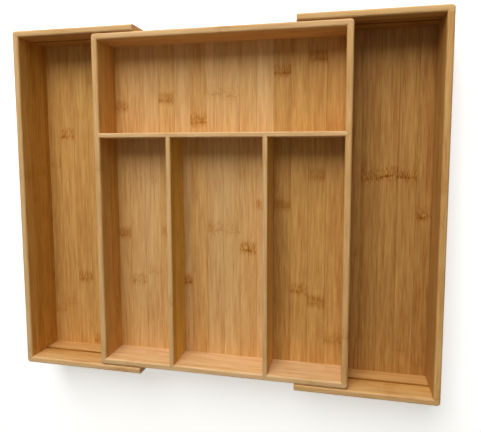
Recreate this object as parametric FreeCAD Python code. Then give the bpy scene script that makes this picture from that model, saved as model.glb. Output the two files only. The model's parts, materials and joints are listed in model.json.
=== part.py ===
import FreeCAD, Part
import os

# Expandable bamboo cutlery tray: a centre tray with one cross compartment at the back and
# three long ones in front of it, and two side trays that slide out from under it.
# Millimetres. X runs across the tray, the way the side trays slide, Y runs from front to
# back, and Z is up from the surface that the tray rests on. The origin is on that surface,
# under the middle of the tray as it stands open.

# Overall sizes
tray_depth = 440.0  # outside of the side trays, front to back
tray_height = 61.0  # resting edges to rim
centre_width = 318.0  # outside of the centre tray, left to right

# Stock
wall = 8.0  # every outer wall
divider = 6.0  # the three dividers
panel = 5.0  # the three floor panels

# Compartments of the centre tray
back_bay = 114.0  # clear depth of the cross compartment
middle_bay = 114.0  # clear width of the middle long compartment

# Floors
side_floor_foot = 2.0  # resting edges to the underside of a side floor
centre_floor_foot = 5.5  # lower edges of the centre walls to the underside of their floor
floor_seat = 4.0  # how deep a floor panel sits in the grooves of its walls

# Divider joints
wall_dado = 3.0  # how deep a divider's end sits in a wall
cross_dado = 2.0  # how deep a long divider's end sits in the cross divider

# Sliding joint: tongues on the centre tray run in stopped grooves of the side trays
groove_height = 5.0
groove_depth = 4.0
groove_level_share = 0.5  # middle of the groove, as a share of the tray's height
groove_stop = 12.0  # solid wood between a groove and the inner end of its wall
tongue_length = 30.0
tongue_inset = 2.0  # side of the centre tray to the nearer end of a tongue
tongue_seat = 3.0  # how deep a tongue is let into the centre tray's wall

# Running clearances
slide_play = 0.6  # centre tray to the walls of the side trays, front and back
tongue_play = 0.3  # above and below a tongue
tongue_end_play = 0.5  # tip of a tongue to the bottom of its groove
stop_play = 0.3  # end of a tongue to the end of its groove at full travel
floor_play = 0.5  # centre walls to the side floors that they slide over
meeting_play = 0.5  # inner end of a closed side tray to the middle of the tray

# How far each side tray is drawn out, as a share of its full travel
left_open_share = 0.9
right_open_share = 0.83

# Eased edges
corner_round = 4.0  # upright outer corners
rim_easing = 2.4  # upper edges of the walls
base_easing = 0.8  # lower edges of the walls
divider_easing = 1.5  # upper edges of the dividers

# Working values
overrun = 10.0  # how far a cutting block runs past what it cuts
near = 0.001  # two places closer than this are the same place
largest_easing_share = 0.45  # no rounding takes more of the wood beside it than this

# Heights
side_floor_top = side_floor_foot + panel
centre_base = side_floor_top + floor_play
centre_floor_low = centre_base + centre_floor_foot
centre_floor_top = centre_floor_low + panel
groove_level = tray_height * groove_level_share

# Half sizes in plan
side_half = tray_depth / 2
side_inside = side_half - wall
centre_half = side_inside - slide_play
centre_inside = centre_half - wall
centre_reach = centre_width / 2
centre_clear = centre_reach - wall

# Side trays: each is half the closed tray, so that the two meet in the middle
side_width = centre_reach + wall - meeting_play
groove_end = side_width - groove_stop
full_travel = groove_end - wall - tongue_inset - tongue_length - stop_play
left_open = full_travel * left_open_share
right_open = full_travel * right_open_share
centre_x = (left_open - right_open) / 2

# Dividers
cross_back = centre_inside - back_bay
cross_front = cross_back - divider
long_offset = (middle_bay + divider) / 2


def block(x_span, y_span, z_span):
    """Box from its spans along X, Y and Z, each given in either order."""
    low = FreeCAD.Vector(min(x_span), min(y_span), min(z_span))
    size = FreeCAD.Vector(max(x_span), max(y_span), max(z_span)) - low
    return Part.makeBox(size.x, size.y, size.z, low)


def level_edges(shape, height):
    """Edges that lie wholly at one height."""
    return [edge for edge in shape.Edges
            if all(abs(corner.Z - height) < near for corner in edge.Vertexes)]


def upright_edges(shape, corners):
    """Vertical edges that stand at the given corners of the plan."""
    found = []
    for edge in shape.Edges:
        for x, y in corners:
            if all(abs(end.X - x) < near and abs(end.Y - y) < near for end in edge.Vertexes):
                found.append(edge)
    return found


def ease(shape, edges, radius, room):
    """Round the edges, by no more than the wood beside them leaves room for."""
    return shape.makeFillet(min(radius, room * largest_easing_share), edges)


def ease_frame(frame, corners, base):
    """Round a tray's outer corners, its rim and its lower edges in one piece, as sanded."""
    frame = ease(frame, upright_edges(frame, corners), corner_round, wall + wall)
    frame = ease(frame, level_edges(frame, tray_height), rim_easing, wall)
    return ease(frame, level_edges(frame, base), base_easing, wall)


def ease_divider(board):
    """Round the two long upper edges of a divider."""
    longest = max(edge.Length for edge in level_edges(board, tray_height))
    edges = [edge for edge in level_edges(board, tray_height) if abs(edge.Length - longest) < near]
    return ease(board, edges, divider_easing, divider)


def cut_all(shape, tools):
    """Cut the seats of other pieces out of a shape."""
    for tool in tools:
        shape = shape.cut(tool)
    return shape


def tongue(side, end):
    """Guide strip let into the centre tray's front or back wall, near one of its sides."""
    outer = centre_x + side * (centre_reach - tongue_inset)
    inner = outer - side * tongue_length
    root = end * (centre_half - tongue_seat)
    tip = end * (side_inside + groove_depth - tongue_end_play)
    half_height = groove_height / 2 - tongue_play
    return block((outer, inner), (root, tip), (groove_level - half_height, groove_level + half_height))


def centre_tray():
    """Pieces of the centre tray by name."""
    x_outer = (centre_x - centre_reach, centre_x + centre_reach)
    x_inner = (centre_x - centre_clear, centre_x + centre_clear)
    z_wall = (centre_base, tray_height)
    z_through = (-overrun, tray_height + overrun)
    z_divider = (centre_floor_top, tray_height)

    floor = block((x_inner[0] - floor_seat, x_inner[1] + floor_seat),
                  (-centre_inside - floor_seat, centre_inside + floor_seat),
                  (centre_floor_low, centre_floor_top))
    cross = ease_divider(block((x_inner[0] - wall_dado, x_inner[1] + wall_dado),
                               (cross_front, cross_back), z_divider))
    long_dividers = {}
    for name, side in (("left_divider", -1), ("right_divider", 1)):
        middle = centre_x + side * long_offset
        board = block((middle - divider / 2, middle + divider / 2),
                      (-centre_inside - wall_dado, cross_front + cross_dado), z_divider)
        long_dividers[name] = ease_divider(board)
    tongues = {}
    for depth_name, end in (("front", -1), ("back", 1)):
        for side_name, side in (("left", -1), ("right", 1)):
            tongues[f"{depth_name}_{side_name}_tongue"] = tongue(side, end)

    frame = block(x_outer, (-centre_half, centre_half), z_wall)
    frame = frame.cut(block(x_inner, (-centre_inside, centre_inside), z_through))
    corners = [(x, y) for x in x_outer for y in (-centre_half, centre_half)]
    frame = ease_frame(frame, corners, centre_base)
    seats = [floor, cross, *long_dividers.values(), *tongues.values()]
    frame = cut_all(frame, seats)

    pieces = {"centre_floor": floor, "cross_divider": cut_all(cross, long_dividers.values())}
    pieces.update(long_dividers)
    pieces.update(tongues)
    x_past = (x_outer[0] - overrun, x_outer[1] + overrun)
    for name, end in (("centre_front_wall", -1), ("centre_back_wall", 1)):
        pieces[name] = frame.common(block(x_past, (end * centre_inside, end * (centre_half + overrun)),
                                          z_through))
    for name, side in (("centre_left_wall", -1), ("centre_right_wall", 1)):
        x_side = (centre_x + side * (centre_clear - overrun), centre_x + side * (centre_reach + overrun))
        pieces[name] = frame.common(block(x_side, (-centre_inside, centre_inside), z_through))
    return pieces


def side_tray(name, side, opening):
    """Pieces of one side tray by name, drawn out of the centre tray by its opening."""
    outer = centre_x + side * (centre_reach + opening + wall)

    def inward(distance):
        """X at a distance inward from the outer face of the end wall."""
        return outer - side * distance

    z_through = (-overrun, tray_height + overrun)
    floor = block((inward(wall - floor_seat), inward(side_width)),
                  (-side_inside - floor_seat, side_inside + floor_seat),
                  (side_floor_foot, side_floor_top))
    frame = block((outer, inward(side_width)), (-side_half, side_half), (0, tray_height))
    frame = frame.cut(block((inward(wall), inward(side_width + overrun)),
                            (-side_inside, side_inside), z_through))
    frame = ease_frame(frame, [(outer, -side_half), (outer, side_half)], 0)
    groove = block((inward(wall), inward(groove_end)),
                   (-side_inside - groove_depth, side_inside + groove_depth),
                   (groove_level - groove_height / 2, groove_level + groove_height / 2))
    frame = cut_all(frame, [floor, groove])

    pieces = {f"{name}_floor": floor}
    x_past = (inward(-overrun), inward(side_width + overrun))
    for wall_name, end in (("front", -1), ("back", 1)):
        y_wall = (end * side_inside, end * (side_half + overrun))
        pieces[f"{name}_{wall_name}_wall"] = frame.common(block(x_past, y_wall, z_through))
    x_end = (inward(-overrun), inward(wall + overrun))
    pieces[f"{name}_end_wall"] = frame.common(block(x_end, (-side_inside, side_inside), z_through))
    return pieces


def main():
    """Make every piece, check that each is one sound solid, and write them out."""
    os.makedirs("parts", exist_ok=True)
    pieces = centre_tray()
    pieces.update(side_tray("left", -1, left_open))
    pieces.update(side_tray("right", 1, right_open))
    for name, shape in pieces.items():
        solids = shape.Solids
        if len(solids) != 1 or not solids[0].isValid():
            raise ValueError(f"{name} is not one sound solid")
        solids[0].exportStep(f"parts/{name}.step")
    print(f"full travel {full_travel:.2f}, left open {left_open:.2f}, right open {right_open:.2f}")
    print(f"centre of the centre tray at x {centre_x:.3f}, side tray width {side_width:.2f}")


if __name__ == "__main__":
    main()
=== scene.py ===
"""Expandable bamboo cutlery tray: floors laid from strips, bamboo finishes, a white stage and a camera."""

import json
import math

import bpy
from mathutils import Matrix, Vector

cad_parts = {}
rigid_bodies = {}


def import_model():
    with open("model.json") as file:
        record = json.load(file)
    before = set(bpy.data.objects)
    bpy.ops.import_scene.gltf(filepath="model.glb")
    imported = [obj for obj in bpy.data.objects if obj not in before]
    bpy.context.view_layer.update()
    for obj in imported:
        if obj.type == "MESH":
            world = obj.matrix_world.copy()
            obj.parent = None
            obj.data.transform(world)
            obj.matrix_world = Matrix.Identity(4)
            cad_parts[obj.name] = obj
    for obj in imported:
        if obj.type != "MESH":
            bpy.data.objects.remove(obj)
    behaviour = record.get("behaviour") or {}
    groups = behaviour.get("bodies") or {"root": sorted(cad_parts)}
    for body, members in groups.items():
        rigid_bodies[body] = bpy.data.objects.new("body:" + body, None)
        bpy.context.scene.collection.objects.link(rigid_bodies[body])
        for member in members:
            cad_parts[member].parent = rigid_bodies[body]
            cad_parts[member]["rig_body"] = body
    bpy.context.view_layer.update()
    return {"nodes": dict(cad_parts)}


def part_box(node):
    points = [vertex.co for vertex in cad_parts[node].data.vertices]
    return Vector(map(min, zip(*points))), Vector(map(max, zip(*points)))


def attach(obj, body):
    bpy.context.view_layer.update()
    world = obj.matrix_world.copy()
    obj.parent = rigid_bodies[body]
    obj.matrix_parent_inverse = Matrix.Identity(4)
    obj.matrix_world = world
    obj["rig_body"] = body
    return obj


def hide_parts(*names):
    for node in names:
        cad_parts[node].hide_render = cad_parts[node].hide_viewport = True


bl_info = {
    "name": "Bamboo Cutlery Tray",
    "version": (1, 0, 0),
    "blender": (4, 5, 0),
    "location": "3D View > Sidebar > Cutlery Tray",
    "description": "Lays the floors of an expandable tray, finishes its boards in bamboo and sets its stage",
    "category": "Object",
}

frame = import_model()
MILLIMETRE = 0.001
X, Y, Z = range(3)

# Floor strips, counted from the outer edge of a side tray or the left edge of the centre tray: how toasted a
# strip is, then its knuckles, each with its place in millimetres from the middle of the tray towards the
# back, how bold it is, and how far it is a blot, at 1, rather than a line with flecks, at 0
# The right tray's strips and the centre floor's right-hand strips are more toasted partly as painted shade,
# besides their own tone
FLOOR_STRIPS = {
    "centre_floor": (
        (0.38, ((127, 1.1, 0.8), (-44, 1.1, 0.8))),
        (0.30, ((-108, 0.8, 0.4),)),
        (0.27, ((30, 0.2, 0.5), (-93, 0.4, 0.5))),
        (0.38, ((135, 1.1, 0.8), (-40, 0.9, 0.8))),
        (0.27, ((-105, 1.3, 0.6),)),
        (0.41, ((107, 1.4, 0.4), (-190, 0.3, 0.5))),
        (0.27, ((143, 0.4, 0.0), (-33, 0.7, 0.0))),
        (0.30, ((140, 0.5, 0.0), (-35, 0.5, 0.0))),
        (0.33, ((40, 0.15, 0.5), (-57, 1.4, 0.4))),
        (0.25, ((-2, 1.2, 0.8),)),
        (0.67, ((166, 1.3, 0.6), (0, 0.9, 0.9))),
        (0.57, ((75, 0.2, 0.5), (-108, 1.0, 0.4))),
        (0.59, ((181, 1.2, 1.0), (38, 1.0, 0.8), (-123, 1.4, 0.9))),
        (0.62, ((95, 0.3, 0.5), (-170, 0.8, 0.6))),
    ),
    "left_floor": (
        (0.53, ((50, 0.4, 0.5), (-162, 0.6, 0.6))),
        (0.51, ((91, 1.2, 0.4), (-150, 0.2, 0.5))),
        (0.50, ((-112, 1.2, 0.3), (120, 0.2, 0.5))),
        (0.54, ((-203, 1.2, 0.4), (165, 0.4, 0.5))),
        (0.54, ((-172, 0.6, 0.5), (90, 0.5, 0.5))),
        (0.57, ((120, 0.4, 0.5), (-90, 0.4, 0.5))),
        (0.50, ((-140, 0.4, 0.5), (30, 0.4, 0.5))),
    ),
    "right_floor": (
        (0.88, ((-9, 1.3, 0.4), (-195, 0.3, 0.5))),
        (0.80, ((38, 1.2, 0.1), (-178, 0.3, 0.5))),
        (0.80, ((40, 1.2, 0.0), (96, 0.2, 0.5))),
        (0.87, ((36, 1.2, 0.1), (-165, 0.3, 0.5))),
        (0.79, ((150, 0.4, 0.5), (-60, 0.4, 0.5))),
        (0.72, ((-100, 0.5, 0.5),)),
        (0.79, ((80, 0.5, 0.5), (-20, 0.5, 0.5))),
    ),
}
LAID_FROM_RIGHT = ("right_floor",)
MOST_KNUCKLES = 3
NO_KNUCKLE = (0, 0, 0)

# How toasted each strip of a board is, from its lower edge up
# Besides each board's own tone these hold painted light and shade: the centre front wall is paler as painted
# light on its lit inner face, and the darker boards, the right tray's most of all, are darker as painted
# shade
BOARD_STRIPS = {
    "centre_front_wall": (0.05, 0.00, 0.00, 0.15),
    "centre_back_wall": (0.32, 0.28, 0.30, 0.31),
    "centre_left_wall": (0.52, 0.44, 0.36, 0.40),
    "centre_right_wall": (0.50, 0.46, 0.43, 0.50),
    "left_front_wall": (0.40, 0.36, 0.46, 0.28),
    "left_back_wall": (0.56, 0.50, 0.50, 0.34),
    "left_end_wall": (0.57, 0.47, 0.51, 0.31),
    "right_front_wall": (0.44, 0.41, 0.48, 0.38),
    "right_back_wall": (0.84, 0.76, 0.80, 0.46),
    "right_end_wall": (0.70, 0.60, 0.65, 0.58),
    "cross_divider": (0.04, 0.00, 0.25),
    "left_divider": (0.02, 0.00, 0.34),
    "right_divider": (0.00, 0.00, 0.34),
}
TONGUE_STRIPS = (0.5,)

# Painted shade: how much of a golden tint some boards take below their rims, standing in for the colour of
# the light on their faces in shade
SHADE_TINTED_BOARDS = {
    "centre_left_wall": 0.3,
    "left_end_wall": 0.6,
    "left_divider": 1.0,
    "right_divider": 0.75,
}

NODES = sorted(frame["nodes"])
WALLS = [name for name in NODES if name.endswith("_wall")]
DIVIDERS = [name for name in NODES if name.endswith("_divider")]
TONGUES = [name for name in NODES if name.endswith("_tongue")]


def length(name, description, default):
    """A length that a user can change."""
    return bpy.props.FloatProperty(
        name=name, description=description, default=default, min=0, precision=5, unit="LENGTH")


def colour(name, description, default):
    """A colour that a user can change."""
    return bpy.props.FloatVectorProperty(
        name=name, description=description, default=default, size=3, min=0, max=1, subtype="COLOR")


def share(name, description, default):
    """A share from none to all that a user can change."""
    return bpy.props.FloatProperty(
        name=name, description=description, default=default, min=0, max=1, subtype="FACTOR")


def amount(name, description, default):
    """A strength with no upper end that a user can change."""
    return bpy.props.FloatProperty(name=name, description=description, default=default, min=0, soft_max=3)


def point(name, description, default):
    """A place that a user can change."""
    return bpy.props.FloatVectorProperty(
        name=name, description=description, default=default, size=3, subtype="TRANSLATION", unit="LENGTH")


def pixel(name, description, default):
    """A place in the picture, 481 pixels wide and 432 high, that a user can change."""
    return bpy.props.FloatProperty(name=name, description=description, default=default, subtype="PIXEL")


class BambooProperties(bpy.types.PropertyGroup):
    """Colours and grain of the bamboo that every board and strip shares."""

    pale: colour("Pale straw", "Lightest bamboo", (0.77, 0.487, 0.240))
    honey: colour("Honey", "Half toasted bamboo", (0.64, 0.342, 0.100))
    toasted: colour("Toasted", "Most toasted bamboo", (0.36, 0.165, 0.038))
    grain_stain: colour("Grain stain", "What the darkest grain leaves of the colour", (0.57, 0.32, 0.02))
    fibre_stain: colour("Fibre stain", "What the single dark fibres leave of the colour", (0.46, 0.34, 0.17))
    # Painted shade: the golden tint that stands in for the colour of the light on boards in shade
    shade_tint_stain: colour("Golden stain", "What a golden board leaves of the colour", (0.98, 0.97, 0.43))
    knuckle_stain: colour("Knuckle stain", "What the knuckles leave of the colour", (0.64, 0.42, 0.08))
    cloud_width: length("Cloud width", "Width of the slow drift in colour across a board", 0.012)
    cloud_length: length("Cloud length", "Length of the slow drift in colour along a board", 0.20)
    cloud_contrast: amount("Cloud contrast", "How much the slow drift changes the colour", 0.6)
    streak_width: length("Streak width", "Width of a streak of like fibres", 0.0030)
    streak_length: length("Streak length", "Length of a streak of like fibres", 0.055)
    streak_contrast: amount("Streak contrast", "How much the streaks change the colour", 0.9)
    fibre_width: length("Fibre width", "Width of one fibre", 0.0008)
    fibre_length: length("Fibre length", "Length over which a fibre keeps its colour", 0.022)
    fibre_contrast: amount("Fibre contrast", "How much the fibres change the colour", 0.8)
    toasted_grain: amount("Toasted grain", "How much more the grain shows on the most toasted bamboo", 0.9)
    hair_width: length("Hair width", "Width of the sparse dark fibres", 0.0012)
    hair_length: length("Hair length", "Length of the sparse dark fibres", 0.024)
    hair_strength: share("Hair strength", "How dark the sparse dark fibres are", 0.18)
    knuckle_reach: length("Knuckle reach", "How far a knuckle browns the strip on each side", 0.0110)
    knuckle_scar: length("Knuckle scar", "Half the width of the dark line along a knuckle", 0.0022)
    knuckle_wander: length("Knuckle wander", "How far a knuckle strays as it crosses a strip", 0.007)
    knuckle_spacing: length("Knuckle spacing", "Distance between the knuckles of a board's strips", 0.235)
    board_knuckles: amount("Board knuckles", "How bold the knuckles of the walls and dividers are", 0.35)
    board_strip: length("Board strip", "Height of the strips that a board is glued from", 0.0153)
    joint_line: length("Joint line", "Width of the shaded line at a glued joint", 0.0006)
    joint_strength: share("Joint strength", "How dark the line at a glued joint is", 0.26)
    joint_patch: length("Joint patch", "Length over which the line at a floor's joint comes and goes", 0.06)
    # Painted shade inside the guide grooves, in the knuckle stain's brown
    groove_shade: share("Groove browning", "How brown the inside of a guide groove is", 0.9)
    groove_shade_edge: length("Groove edge", "How far into a guide groove its brown is full", 0.0008)
    # Painted highlight: the top band of each board is paled as if more light falls on the rim
    rim_highlight_depth: length("Rim depth", "How far down from the rim sanding has paled a board", 0.0030)
    rim_highlight: share("Rim paling", "How much sanding has paled the rim", 0.21)
    roughness: share("Roughness", "Roughness of the surface", 0.50)
    lacquer: share("Lacquer", "Strength of the thin clear coat", 0.04)
    lacquer_roughness: share("Lacquer roughness", "Roughness of the thin clear coat", 0.36)
    gloss: share("Gloss", "Strength of the reflections under the coat", 0.10)
    relief: length("Relief", "Height of the raised grain", 0.00025)


class FloorProperties(bpy.types.PropertyGroup):
    """Sizes of the strips that the floors are laid from."""

    strip_width: length("Strip width", "Width of a floor strip; the last takes up what is left", 0.0218)
    easing: length("Easing", "Rounding of a strip's long edges", 0.0003)


class StageProperties(bpy.types.PropertyGroup):
    """Camera, floor, lamps and surround."""

    camera_place: point("Camera place", "Where the camera stands", (0.1592, 0.0667, 0.5689))
    camera_aim: point("Camera aim", "Point on the rim that the camera looks at", (0.0538, 0.0199, 0.061))
    lens: bpy.props.FloatProperty(
        name="Lens", description="Focal length in millimetres", default=33.22, min=1, unit="CAMERA")
    sensor: bpy.props.FloatProperty(
        name="Sensor", description="Width of the sensor in millimetres", default=36, min=1, unit="CAMERA")
    picture_width: pixel("Picture width", "Width of the picture", 481)
    picture_height: pixel("Picture height", "Height of the picture", 432)
    axis_column: pixel("Axis column", "Column of the picture that the lens points at", 256.2)
    axis_row: pixel("Axis row", "Row of the picture that the lens points at, from its top", 191.5)
    floor_colour: colour("Floor", "Colour of the floor", (0.94, 0.95, 0.97))
    floor_bounce: colour("Floor bounce", "Colour in which the floor lights the tray", (0.60, 0.595, 0.58))
    floor_glow: share("Floor glow", "White that the floor shows to the camera beside its lit colour", 0.50)
    floor_size: length("Floor size", "Side of the square floor", 8.0)
    fade_start: length("Fade start", "Way from the tray's middle to where the floor starts to fade", 0.5)
    fade_end: length("Fade end", "Way from the tray's middle to where the floor is plain white", 1.4)
    surround: share("Surround", "Level of the even light from all round", 0.11)
    surround_colour: colour("Surround colour", "Colour of the even light from all round", (1.0, 0.96, 0.66))
    lamp_distance: length("Lamp distance", "Distance of the lamps from the tray", 2.2)
    lamp_colour: colour("Lamp colour", "Colour of the high lamps and the front fill", (1.0, 0.985, 0.96))
    window_colour: colour("Window colour", "Colour of the low lamps at the back", (0.90, 0.96, 1.0))


# Sockets of a Mix node that mixes colours
MIX_SHARE, MIX_FIRST, MIX_SECOND, MIX_COLOUR = 0, 6, 7, 2


class NodeSheet:
    """A node tree under construction."""

    def __init__(self, tree):
        self.tree = tree

    def node(self, kind, settings, sockets, output=0):
        """Add a node, set it up, fill its sockets with values or links, and give one output or several."""
        made = self.tree.nodes.new(kind)
        for name, setting in settings.items():
            setattr(made, name, setting)
        for key, value in sockets.items():
            if isinstance(value, Link):
                self.tree.links.new(value.socket, made.inputs[key])
            else:
                made.inputs[key].default_value = value
        if isinstance(output, tuple):
            return [Link(self, made.outputs[key]) for key in output]
        return None if output is None else Link(self, made.outputs[output])

    def math(self, operation, *values):
        """Number worked out by a Math node."""
        return self.node("ShaderNodeMath", {"operation": operation}, dict(enumerate(values)))

    def blend(self, how_much, first, second):
        """Colour between two colours."""
        return self.node("ShaderNodeMix", {"data_type": "RGBA"},
                         {MIX_SHARE: how_much, MIX_FIRST: first, MIX_SECOND: second}, MIX_COLOUR)


class Link:
    """An output socket; arithmetic on one that carries a number adds Math nodes to its tree."""

    def __init__(self, sheet, socket):
        self.sheet = sheet
        self.socket = socket

    def __add__(self, other):
        return self.sheet.math("ADD", self, other)

    __radd__ = __add__

    def __sub__(self, other):
        return self.sheet.math("SUBTRACT", self, other)

    def __rsub__(self, other):
        return self.sheet.math("SUBTRACT", other, self)

    def __mul__(self, other):
        return self.sheet.math("MULTIPLY", self, other)

    __rmul__ = __mul__

    def __truediv__(self, other):
        return self.sheet.math("DIVIDE", self, other)

    def __rtruediv__(self, other):
        return self.sheet.math("DIVIDE", other, self)

    def __abs__(self):
        return self.sheet.math("ABSOLUTE", self)

    def at_least(self, other):
        """The larger of two numbers."""
        return self.sheet.math("MAXIMUM", self, other)

    def at_most(self, other):
        """The smaller of two numbers."""
        return self.sheet.math("MINIMUM", self, other)

    def equals(self, other):
        """1 where two whole numbers are the same, else 0."""
        within = 0.5
        return self.sheet.math("COMPARE", self, other, within)

    def floor(self):
        """The whole number below."""
        return self.sheet.math("FLOOR", self)

    def fraction(self):
        """What is left above the whole number below."""
        return self.sheet.math("FRACT", self)

    def rise(self, low, high):
        """Smooth rise from 0 at low to 1 at high."""
        return self.sheet.node("ShaderNodeMapRange", {"interpolation_type": "SMOOTHSTEP"},
                               {"Value": self, "From Min": low, "From Max": high})


# Layers of noise, the room that each board has for them, and the steps that keep layers and strips apart
CLOUD, STREAK, FIBRE, HAIR, LUMP, FLECK, WANDER, JOINT, KNUCKLE = range(1, 10)
LAYERS_PER_BOARD = 12
LAYER_STEP = 3.7
STRIP_STEP = 11.3

# Middle of a number that runs from 0 to 1, roughness of the noise, and a length over which it hardly changes
MIDDLE = 0.5
NOISE_ROUGHNESS = 0.55
EVEN = 1.0

# Noise at which a mark starts and at which it is full
HAIR_EDGES = (0.60, 0.76)
LUMP_EDGES = (0.25, 0.75)
FLECK_EDGES = (0.35, 0.65)
PATCH_EDGES = (0.30, 0.65)

# Shape of a knuckle, in shares of its reach: the noise in it, where its body and flecks start to fade and
# where they end, and how far its scar lies to one side
LUMP_WIDTH = 0.8
FLECK_WIDTH = 0.13
FLECK_LENGTH = 0.5
WANDER_WIDTH = 0.6
BODY_FADE = (0.2, 1.0)
FLECK_FADE = (0.3, 1.2)
SCAR_OFFSET = 0.3

# Stain of a knuckle: what its body, flecks and scar have where the noise is lowest and gain where it is
# full, what a line keeps of the body, what a blot loses of the rest, and how far a board's knuckle is a blot
BODY_LEVEL, BODY_GAIN = 0.30, 0.25
FLECK_LEVEL, FLECK_GAIN = -0.22, 0.75
SCAR_LEVEL, SCAR_GAIN = 0.15, 0.45
BODY_OF_LINE = 0.3
LOST_IN_BLOT = 0.6
BOARD_BLOT = 0.5

# What the grain adds to the relief and to the roughness, and how strongly the relief tilts the surface
FIBRE_RELIEF, STREAK_RELIEF, HAIR_RELIEF = 0.6, 0.4, 0.4
FIBRE_ROUGHNESS, HAIR_ROUGHNESS = 0.2, 0.1
RELIEF_STRENGTH = 0.35


def opaque(rgb):
    """Colour with full alpha, for a node's socket."""
    return (*rgb, 1.0)


class BambooSheet(NodeSheet):
    """Material of a bamboo board or panel that is glued from strips, with its grain along one axis."""

    def __init__(self, node, bamboo, grain):
        self.material = bpy.data.materials.new(f"bamboo_{node}")
        self.material.use_nodes = True
        super().__init__(self.material.node_tree)
        self.tree.nodes.clear()
        self.bamboo = bamboo
        self.grain = grain
        self.seed = NODES.index(node) * LAYERS_PER_BOARD
        self.place = self.node("ShaderNodeTexCoord", {}, {}, "Object")
        self.axes = self.node("ShaderNodeSeparateXYZ", {}, {"Vector": self.place}, ("X", "Y", "Z"))
        self.along = self.axes[grain]
        self.strip = None

    def attribute(self, name):
        """Number that the piece's own mesh holds under a name."""
        return self.node("ShaderNodeAttribute", {"attribute_name": name}, {}, "Fac")

    def streaks(self, width, along, layer, detail=2.0):
        """Noise from 0 to 1, drawn out along the grain and different in every strip."""
        stretch = [1 / width] * 3
        stretch[self.grain] = 1 / along
        offset = self.strip * STRIP_STEP + (self.seed + layer) * LAYER_STEP
        where = self.node("ShaderNodeVectorMath", {"operation": "MULTIPLY_ADD"},
                          {0: self.place, 1: stretch, 2: offset})
        return self.node("ShaderNodeTexNoise", {"noise_dimensions": "3D"},
                         {"Vector": where, "Scale": 1.0, "Detail": detail, "Roughness": NOISE_ROUGHNESS})

    def chance(self, layer):
        """Fixed random number from 0 to 1 for each strip."""
        return self.node("ShaderNodeTexWhiteNoise", {"noise_dimensions": "1D"},
                         {"W": self.strip + (self.seed + layer) * LAYER_STEP})

    def by_strip(self, numbers):
        """Number that each strip takes from a row of numbers."""
        return sum(self.strip.equals(place) * number for place, number in enumerate(numbers))

    def stain(self, how_much, base, left):
        """Colour of which a full stain leaves a share of red, green and blue; one below 0 brightens it."""
        settings = {"data_type": "RGBA", "blend_type": "MULTIPLY", "clamp_factor": False}
        return self.node("ShaderNodeMix", settings,
                         {MIX_SHARE: how_much, MIX_FIRST: base, MIX_SECOND: opaque(left)}, MIX_COLOUR)

    def near(self, off, fade):
        """1 beside a knuckle, falling to 0 between two shares of its reach."""
        full, gone = fade
        reach = self.bamboo.knuckle_reach
        return 1 - abs(off).rise(reach * full, reach * gone)

    def knuckles(self, places):
        """Stain of knuckles, from the way along the grain to each, how bold and how much of a blot it is."""
        bamboo = self.bamboo
        reach = bamboo.knuckle_reach
        lump = self.streaks(reach * LUMP_WIDTH, reach, LUMP, detail=0.0).rise(*LUMP_EDGES)
        fleck = self.streaks(reach * FLECK_WIDTH, reach * FLECK_LENGTH, FLECK, detail=1.0).rise(*FLECK_EDGES)
        wander = self.streaks(reach * WANDER_WIDTH, EVEN, WANDER, detail=1.0) - MIDDLE
        stray = wander * bamboo.knuckle_wander
        stain = 0
        for off, boldness, blot in places:
            off = off + stray
            body = self.near(off, BODY_FADE) * (lump * BODY_GAIN + BODY_LEVEL)
            flecks = self.near(off, FLECK_FADE) * (fleck * FLECK_GAIN + FLECK_LEVEL)
            beside_scar = abs(off + reach * SCAR_OFFSET)
            scar = (1 - beside_scar.rise(0, bamboo.knuckle_scar)) * (lump * SCAR_GAIN + SCAR_LEVEL)
            body_kept = blot * (1 - BODY_OF_LINE) + BODY_OF_LINE
            rest_kept = 1 - blot * LOST_IN_BLOT
            stain = (body * body_kept + (flecks + scar) * rest_kept) * boldness + stain
        return stain

    def finish(self, tone, shade_tinted, brown, joint):
        """Colour, sheen and relief, from how toasted the wood is, its painted shade tint, its knuckles and
        painted groove shade, and its joint lines.
        """
        bamboo = self.bamboo
        cloud = self.streaks(bamboo.cloud_width, bamboo.cloud_length, CLOUD)
        streak = self.streaks(bamboo.streak_width, bamboo.streak_length, STREAK)
        fibre = self.streaks(bamboo.fibre_width, bamboo.fibre_length, FIBRE)
        hair = self.streaks(bamboo.hair_width, bamboo.hair_length, HAIR, detail=1.0).rise(*HAIR_EDGES)

        grain = ((cloud - MIDDLE) * bamboo.cloud_contrast
                 + (streak - MIDDLE) * bamboo.streak_contrast
                 + (fibre - MIDDLE) * bamboo.fibre_contrast)

        # Pale turns to honey over the lower half of the tones, and honey to toasted over the upper half
        base = self.blend(tone * 2, opaque(bamboo.pale), opaque(bamboo.honey))
        base = self.blend(tone * 2 - 1, base, opaque(bamboo.toasted))
        # Painted shade: the golden tint of boards in shade
        base = self.stain(shade_tinted, base, bamboo.shade_tint_stain)
        base = self.stain(grain * (tone * bamboo.toasted_grain + 1), base, bamboo.grain_stain)
        base = self.stain(hair * bamboo.hair_strength, base, bamboo.fibre_stain)
        # Knuckle stain, and on boards also the painted shade inside the guide grooves
        base = self.stain(brown, base, bamboo.knuckle_stain)
        base = self.stain(joint * bamboo.joint_strength, base, bamboo.fibre_stain)

        height = fibre * FIBRE_RELIEF + streak * STREAK_RELIEF - hair * HAIR_RELIEF - joint
        normal = self.node("ShaderNodeBump", {}, {
            "Strength": RELIEF_STRENGTH,
            "Distance": bamboo.relief,
            "Height": height,
        })
        surface = self.node("ShaderNodeBsdfPrincipled", {}, {
            "Base Color": base,
            "Roughness": (fibre - MIDDLE) * FIBRE_ROUGHNESS + hair * HAIR_ROUGHNESS + bamboo.roughness,
            "Normal": normal,
            "Specular IOR Level": bamboo.gloss,
            "Coat Weight": bamboo.lacquer,
            "Coat Roughness": bamboo.lacquer_roughness,
        })
        self.node("ShaderNodeOutputMaterial", {}, {"Surface": surface}, None)
        return self.material


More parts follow.
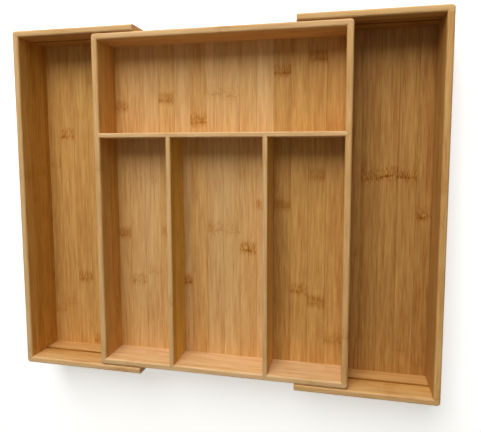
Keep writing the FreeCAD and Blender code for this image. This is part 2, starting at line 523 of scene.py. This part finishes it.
def guide_groove(sheet, node, to_end):
    """1 inside the groove that a side tray's wall holds for a tongue, and 0 on the rest of a board."""
    side, end = node.split("_")[:2]
    tongue = f"{end}_{side}_tongue"
    if tongue not in TONGUES:
        return 0
    edge = sheet.bamboo.groove_shade_edge
    face, outside = sorted(abs(corner.y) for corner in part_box(node))
    thickness = outside - face
    low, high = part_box(tongue)
    tip = max(abs(low.y), abs(high.y)) - face
    height = high.z - low.z
    depth = abs(sheet.axes[Y]) - face
    from_middle = abs(sheet.axes[Z] - (low.z + high.z) / 2)
    in_depth = depth.rise(0, edge) - depth.rise(tip + edge, thickness)
    in_height = 1 - from_middle.rise(height / 2 + edge, height)
    return in_depth * in_height * to_end.rise(0, thickness)


def board_bamboo(node, bamboo, strips, boldness):
    """Bamboo for a board glued from strips, one above another, with its grain along its length."""
    low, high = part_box(node)
    size = high - low
    grain = max((X, Y, Z), key=lambda axis: size[axis])
    sheet = BambooSheet(node, bamboo, grain)
    height = sheet.axes[Z]
    sheet.strip = ((height - low.z) / bamboo.board_strip).floor()
    # Painted highlight: the band just below the rim is made paler
    rim = (height - (high.z - bamboo.rim_highlight_depth)).rise(0, bamboo.rim_highlight_depth)
    tone = sheet.by_strip(strips) - rim * bamboo.rim_highlight
    steps = sheet.along / bamboo.knuckle_spacing + sheet.chance(KNUCKLE)
    off = (steps.fraction() - MIDDLE) * bamboo.knuckle_spacing
    to_end = (sheet.along - low[grain]).at_most(high[grain] - sheet.along)
    # Painted shade: the inside of a guide groove is darkened with the knuckle stain
    groove = guide_groove(sheet, node, to_end) * bamboo.groove_shade
    brown = sheet.knuckles([(off, boldness, BOARD_BLOT)]) + groove
    # Painted shade tint, kept off the rim
    shade_tinted = (1 - rim) * SHADE_TINTED_BOARDS.get(node, 0)
    return sheet.finish(tone, shade_tinted, brown, 1 - to_end.rise(0, bamboo.joint_line))


def floor_bamboo(node, bamboo, strip_width):
    """Bamboo for a floor, whose strips hold how toasted they are and where their knuckles lie."""
    sheet = BambooSheet(node, bamboo, Y)
    sheet.strip = sheet.attribute("strip")
    places = []
    for place in range(MOST_KNUCKLES):
        off = sheet.along - sheet.attribute(f"knuckle_{place}")
        places.append((off, sheet.attribute(f"boldness_{place}"), sheet.attribute(f"blot_{place}")))
    to_side = (1 - abs(sheet.attribute("strip_side"))) * (strip_width / 2)
    patches = sheet.streaks(EVEN, bamboo.joint_patch, JOINT).rise(*PATCH_EDGES)
    joint = (1 - to_side.rise(0, bamboo.joint_line)) * patches
    return sheet.finish(sheet.attribute("strip_tone"), shade_tinted=0, brown=sheet.knuckles(places), joint=joint)


# Inputs of the node tree that lays a floor, with their kinds, and the steps that round an eased edge
PANEL_INPUTS = {
    "Panel Width": "Float",
    "Panel Length": "Float",
    "Panel Thickness": "Float",
    "Strip Width": "Float",
    "Easing": "Float",
    "Strips": "Int",
    "Finish": "Material",
}
EASING_STEPS = 3


def strip_panel_tree():
    """Node tree that lays a panel from strips with eased edges, from the origin towards +X and +Y."""
    tree = bpy.data.node_groups.new("strip_panel", "GeometryNodeTree")
    inputs = {}
    for name, kind in PANEL_INPUTS.items():
        socket = tree.interface.new_socket(name, in_out="INPUT", socket_type=f"NodeSocket{kind}")
        inputs[name] = socket.identifier
    tree.interface.new_socket("Geometry", in_out="OUTPUT", socket_type="NodeSocketGeometry")
    sheet = NodeSheet(tree)
    width, reach, thickness, strip_width, easing, strips, finish = sheet.node(
        "NodeGroupInput", {}, {}, tuple(inputs))

    end = sheet.node("ShaderNodeCombineXYZ", {}, {"Y": reach})
    line = sheet.node("GeometryNodeCurvePrimitiveLine", {}, {"End": end})
    outline = sheet.node("GeometryNodeCurvePrimitiveQuadrilateral", {},
                         {"Width": strip_width, "Height": thickness})
    outline = sheet.node("GeometryNodeFilletCurve", {"mode": "POLY"},
                         {"Curve": outline, "Count": EASING_STEPS, "Radius": easing})
    strip = sheet.node("GeometryNodeCurveToMesh", {},
                       {"Curve": line, "Profile Curve": outline, "Fill Caps": True})
    place = sheet.node("GeometryNodeInputPosition", {}, {})
    across = sheet.node("ShaderNodeSeparateXYZ", {}, {"Vector": place}, "X")
    strip = sheet.node("GeometryNodeStoreNamedAttribute", {"data_type": "FLOAT", "domain": "POINT"},
                       {"Geometry": strip, "Name": "strip_side", "Value": across / (strip_width / 2)})

    # Every strip is as wide as the rest but the last, which takes up what is left
    index = sheet.node("GeometryNodeInputIndex", {}, {})
    is_last = index.equals(strips - 1)
    own_width = strip_width + is_last * (width - strips * strip_width)
    middle = index * strip_width + own_width / 2
    seat = sheet.node("ShaderNodeCombineXYZ", {}, {"X": middle, "Z": thickness / 2})
    points = sheet.node("GeometryNodeMeshLine", {}, {"Count": strips})
    points = sheet.node("GeometryNodeSetPosition", {}, {"Geometry": points, "Position": seat})
    stretch = sheet.node("ShaderNodeCombineXYZ", {}, {"X": own_width / strip_width, "Y": 1.0, "Z": 1.0})
    panel = sheet.node("GeometryNodeInstanceOnPoints", {},
                       {"Points": points, "Instance": strip, "Scale": stretch})
    panel = sheet.node("GeometryNodeStoreNamedAttribute", {"data_type": "FLOAT", "domain": "INSTANCE"},
                       {"Geometry": panel, "Name": "strip", "Value": index})
    panel = sheet.node("GeometryNodeRealizeInstances", {}, {"Geometry": panel})
    panel = sheet.node("GeometryNodeSetMaterial", {}, {"Geometry": panel, "Material": finish})
    sheet.node("NodeGroupOutput", {}, {"Geometry": panel}, None)
    return tree, inputs


def plain_mesh(name, tree, inputs, values):
    """Mesh that a node tree makes from its named inputs."""
    carrier = bpy.data.objects.new(name, bpy.data.meshes.new(name))
    bpy.context.scene.collection.objects.link(carrier)
    modifier = carrier.modifiers.new(tree.name, "NODES")
    modifier.node_group = tree
    for label, value in values.items():
        modifier[inputs[label]] = value
    evaluated = carrier.evaluated_get(bpy.context.evaluated_depsgraph_get())
    mesh = bpy.data.meshes.new_from_object(evaluated)
    bpy.data.objects.remove(carrier)
    return mesh


def store(mesh, name, values):
    """Hold a number on each point of a mesh under a name."""
    mesh.attributes.new(name, "FLOAT", "POINT").data.foreach_set("value", values)


def mark_strips(mesh, strips):
    """Store on each strip of a floor how toasted it is, where its knuckles lie and how bold they are."""
    numbers = [0.0] * len(mesh.vertices)
    mesh.attributes["strip"].data.foreach_get("value", numbers)
    rows = [strips[round(number)] for number in numbers]
    store(mesh, "strip_tone", [tone for tone, row in rows])
    for place in range(MOST_KNUCKLES):
        knuckles = [row[place] if place < len(row) else NO_KNUCKLE for tone, row in rows]
        store(mesh, f"knuckle_{place}", [along * MILLIMETRE for along, boldness, blot in knuckles])
        store(mesh, f"boldness_{place}", [boldness for along, boldness, blot in knuckles])
        store(mesh, f"blot_{place}", [blot for along, boldness, blot in knuckles])


class TRAY_OT_lay_floors(bpy.types.Operator):
    """Lay the three floors from bamboo strips"""

    bl_idname = "tray.lay_floors"
    bl_label = "Lay Floors"

    def execute(self, context):
        sizes = context.scene.tray_floors
        tree, inputs = strip_panel_tree()
        for node, strips in FLOOR_STRIPS.items():
            low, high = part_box(node)
            size = high - low
            mesh = plain_mesh(f"{node}_strips", tree, inputs, {
                "Panel Width": size.x,
                "Panel Length": size.y,
                "Panel Thickness": size.z,
                "Strip Width": sizes.strip_width,
                "Easing": sizes.easing,
                "Strips": len(strips),
                "Finish": floor_bamboo(node, context.scene.tray_bamboo, sizes.strip_width),
            })
            mark_strips(mesh, strips)
            if node in LAID_FROM_RIGHT:
                half_turn = Matrix.Rotation(math.pi, 4, "Z")
                mesh.transform(Matrix.Translation((high.x, high.y, low.z)) @ half_turn)
            else:
                mesh.transform(Matrix.Translation(low))
            panel = bpy.data.objects.new(f"{node}_strips", mesh)
            context.scene.collection.objects.link(panel)
            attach(panel, frame["nodes"][node]["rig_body"])
            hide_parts(node)
        return {"FINISHED"}


def dress(nodes, bamboo, boldness):
    """Give boards that keep their shape their own bamboo."""
    for node in nodes:
        materials = frame["nodes"][node].data.materials
        materials.clear()
        materials.append(board_bamboo(node, bamboo, BOARD_STRIPS.get(node, TONGUE_STRIPS), boldness))


class TRAY_OT_finish_walls(bpy.types.Operator):
    """Finish the outer walls of the three trays"""

    bl_idname = "tray.finish_walls"
    bl_label = "Finish Walls"

    def execute(self, context):
        bamboo = context.scene.tray_bamboo
        dress(WALLS, bamboo, bamboo.board_knuckles)
        return {"FINISHED"}


class TRAY_OT_finish_dividers(bpy.types.Operator):
    """Finish the dividers of the centre tray"""

    bl_idname = "tray.finish_dividers"
    bl_label = "Finish Dividers"

    def execute(self, context):
        bamboo = context.scene.tray_bamboo
        dress(DIVIDERS, bamboo, bamboo.board_knuckles)
        return {"FINISHED"}


class TRAY_OT_finish_tongues(bpy.types.Operator):
    """Finish the guide tongues that the side trays run on"""

    bl_idname = "tray.finish_tongues"
    bl_label = "Finish Tongues"

    def execute(self, context):
        dress(TONGUES, context.scene.tray_bamboo, boldness=0)
        return {"FINISHED"}


# Lamps: azimuth from the back of the tray towards its right and elevation, in degrees, width and height of
# the soft box, in metres, the level that it lights a facing surface to, and the property with its colour
LAMPS = {
    "low_left": dict(azimuth=-22, elevation=12, width=1.3, height=0.8, level=0.20, tint="window_colour"),
    "low_right": dict(azimuth=16, elevation=12, width=1.3, height=0.8, level=0.15, tint="window_colour"),
    "high_back": dict(azimuth=-10, elevation=45, width=1.3, height=1.5, level=0.83, tint="lamp_colour"),
    "overhead": dict(azimuth=0, elevation=88, width=1.3, height=1.3, level=0.05, tint="lamp_colour"),
    "front_fill": dict(azimuth=180, elevation=1, width=1.3, height=0.06, level=0.24, tint="lamp_colour"),
}
WHITE = (1.0, 1.0, 1.0, 1.0)


def seen(sheet):
    """1 on rays that show the stage to the eye, straight, in a gloss or through a clear piece, else 0."""
    camera, glossy, through = sheet.node("ShaderNodeLightPath", {}, {}, (
        "Is Camera Ray", "Is Glossy Ray", "Is Transmission Ray"))
    return camera.at_least(glossy).at_least(through)


def floor_white(stage):
    """White that shows the tray's shadow and fades to plain white away from the tray."""
    material = bpy.data.materials.new("stage_floor")
    material.use_nodes = True
    sheet = NodeSheet(material.node_tree)
    sheet.tree.nodes.clear()
    shown = seen(sheet)
    paint = sheet.blend(shown, opaque(stage.floor_bounce), opaque(stage.floor_colour))
    lit = sheet.node("ShaderNodeBsdfDiffuse", {}, {"Color": paint})
    glow = sheet.node("ShaderNodeEmission", {}, {"Strength": shown * stage.floor_glow})
    both = sheet.node("ShaderNodeAddShader", {}, {0: lit, 1: glow})
    white = sheet.node("ShaderNodeEmission", {}, {"Strength": shown})
    place = sheet.node("ShaderNodeTexCoord", {}, {}, "Object")
    away = sheet.node("ShaderNodeVectorMath", {"operation": "LENGTH"}, {0: place}, "Value")
    faded = away.rise(stage.fade_start, stage.fade_end)
    surface = sheet.node("ShaderNodeMixShader", {}, {0: faded, 1: both, 2: white})
    sheet.node("ShaderNodeOutputMaterial", {}, {"Surface": surface}, None)
    return material


def stage_floor(stage):
    """Square floor under the tray."""
    half = stage.floor_size / 2
    corners = [(-half, -half, 0), (half, -half, 0), (half, half, 0), (-half, half, 0)]
    mesh = bpy.data.meshes.new("stage_floor")
    mesh.from_pydata(corners, [], [(0, 1, 2, 3)])
    mesh.materials.append(floor_white(stage))
    floor = bpy.data.objects.new("stage_floor", mesh)
    bpy.context.scene.collection.objects.link(floor)


def stage_world(stage):
    """Even light from all round, seen as white."""
    world = bpy.data.worlds.new("stage_world")
    world.use_nodes = True
    sheet = NodeSheet(world.node_tree)
    sheet.tree.nodes.clear()
    shown = seen(sheet)
    level = shown * (1 - stage.surround) + stage.surround
    tint = sheet.blend(shown, opaque(stage.surround_colour), WHITE)
    light = sheet.node("ShaderNodeBackground", {}, {"Color": tint, "Strength": level})
    sheet.node("ShaderNodeOutputWorld", {}, {"Surface": light}, None)
    bpy.context.scene.world = world


def stage_lamp(stage, name, azimuth, elevation, width, height, level, tint):
    """Soft box turned to the tray."""
    turn, rise = math.radians(azimuth), math.radians(elevation)
    away = Vector((math.sin(turn) * math.cos(rise), math.cos(turn) * math.cos(rise), math.sin(rise)))
    data = bpy.data.lights.new(name, "AREA")
    data.shape = "RECTANGLE"
    data.size, data.size_y = width, height
    data.color = getattr(stage, tint)
    data.energy = level * math.pi ** 2 * stage.lamp_distance ** 2
    lamp = bpy.data.objects.new(name, data)
    lamp.location = away * stage.lamp_distance
    lamp.rotation_euler = away.to_track_quat("Z", "Y").to_euler()
    lamp.visible_camera = False
    bpy.context.scene.collection.objects.link(lamp)


def stage_camera(stage):
    """Camera at the picture's viewpoint, with the back of the tray at the top."""
    place = Vector(stage.camera_place)
    back = (place - Vector(stage.camera_aim)).normalized()
    right = Vector((0, 1, 0)).cross(back).normalized()
    up = back.cross(right)
    data = bpy.data.cameras.new("camera")
    data.sensor_fit = "HORIZONTAL"
    data.sensor_width = stage.sensor
    data.lens = stage.lens
    data.shift_x = (stage.picture_width / 2 - stage.axis_column) / stage.picture_width
    data.shift_y = (stage.axis_row - stage.picture_height / 2) / stage.picture_width
    camera = bpy.data.objects.new("camera", data)
    camera.matrix_world = Matrix.Translation(place) @ Matrix((right, up, back)).transposed().to_4x4()
    bpy.context.scene.collection.objects.link(camera)
    bpy.context.scene.camera = camera


class TRAY_OT_set_stage(bpy.types.Operator):
    """Set the floor, the lamps, the surround and the camera"""

    bl_idname = "tray.set_stage"
    bl_label = "Set Stage"

    def execute(self, context):
        stage = context.scene.tray_stage
        stage_floor(stage)
        stage_world(stage)
        for name, settings in LAMPS.items():
            stage_lamp(stage, name, **settings)
        stage_camera(stage)
        context.scene.view_settings.view_transform = "Standard"
        return {"FINISHED"}


class TRAY_PT_sidebar(bpy.types.Panel):
    """The tray's sizes, colours and steps"""

    bl_label = "Cutlery Tray"
    bl_idname = "TRAY_PT_sidebar"
    bl_space_type = "VIEW_3D"
    bl_region_type = "UI"
    bl_category = "Cutlery Tray"

    def draw(self, context):
        for group in (context.scene.tray_bamboo, context.scene.tray_floors, context.scene.tray_stage):
            box = self.layout.box()
            for name in group.__annotations__:
                box.prop(group, name)
        for operator in OPERATORS:
            self.layout.operator(operator.bl_idname)


OPERATORS = (
    TRAY_OT_lay_floors,
    TRAY_OT_finish_walls,
    TRAY_OT_finish_dividers,
    TRAY_OT_finish_tongues,
    TRAY_OT_set_stage,
)
GROUPS = {"tray_bamboo": BambooProperties, "tray_floors": FloorProperties, "tray_stage": StageProperties}


def register():
    """Make the properties, operators and panel known."""
    for made in (*GROUPS.values(), *OPERATORS, TRAY_PT_sidebar):
        bpy.utils.register_class(made)
    for name, group in GROUPS.items():
        setattr(bpy.types.Scene, name, bpy.props.PointerProperty(type=group))


def unregister():
    """Undo register."""
    for name in GROUPS:
        delattr(bpy.types.Scene, name)
    for made in reversed((*GROUPS.values(), *OPERATORS, TRAY_PT_sidebar)):
        bpy.utils.unregister_class(made)


def main():
    """Run every step in order."""
    register()
    bpy.ops.tray.lay_floors()
    bpy.ops.tray.finish_walls()
    bpy.ops.tray.finish_dividers()
    bpy.ops.tray.finish_tongues()
    bpy.ops.tray.set_stage()


if __name__ == "__main__":
    main()
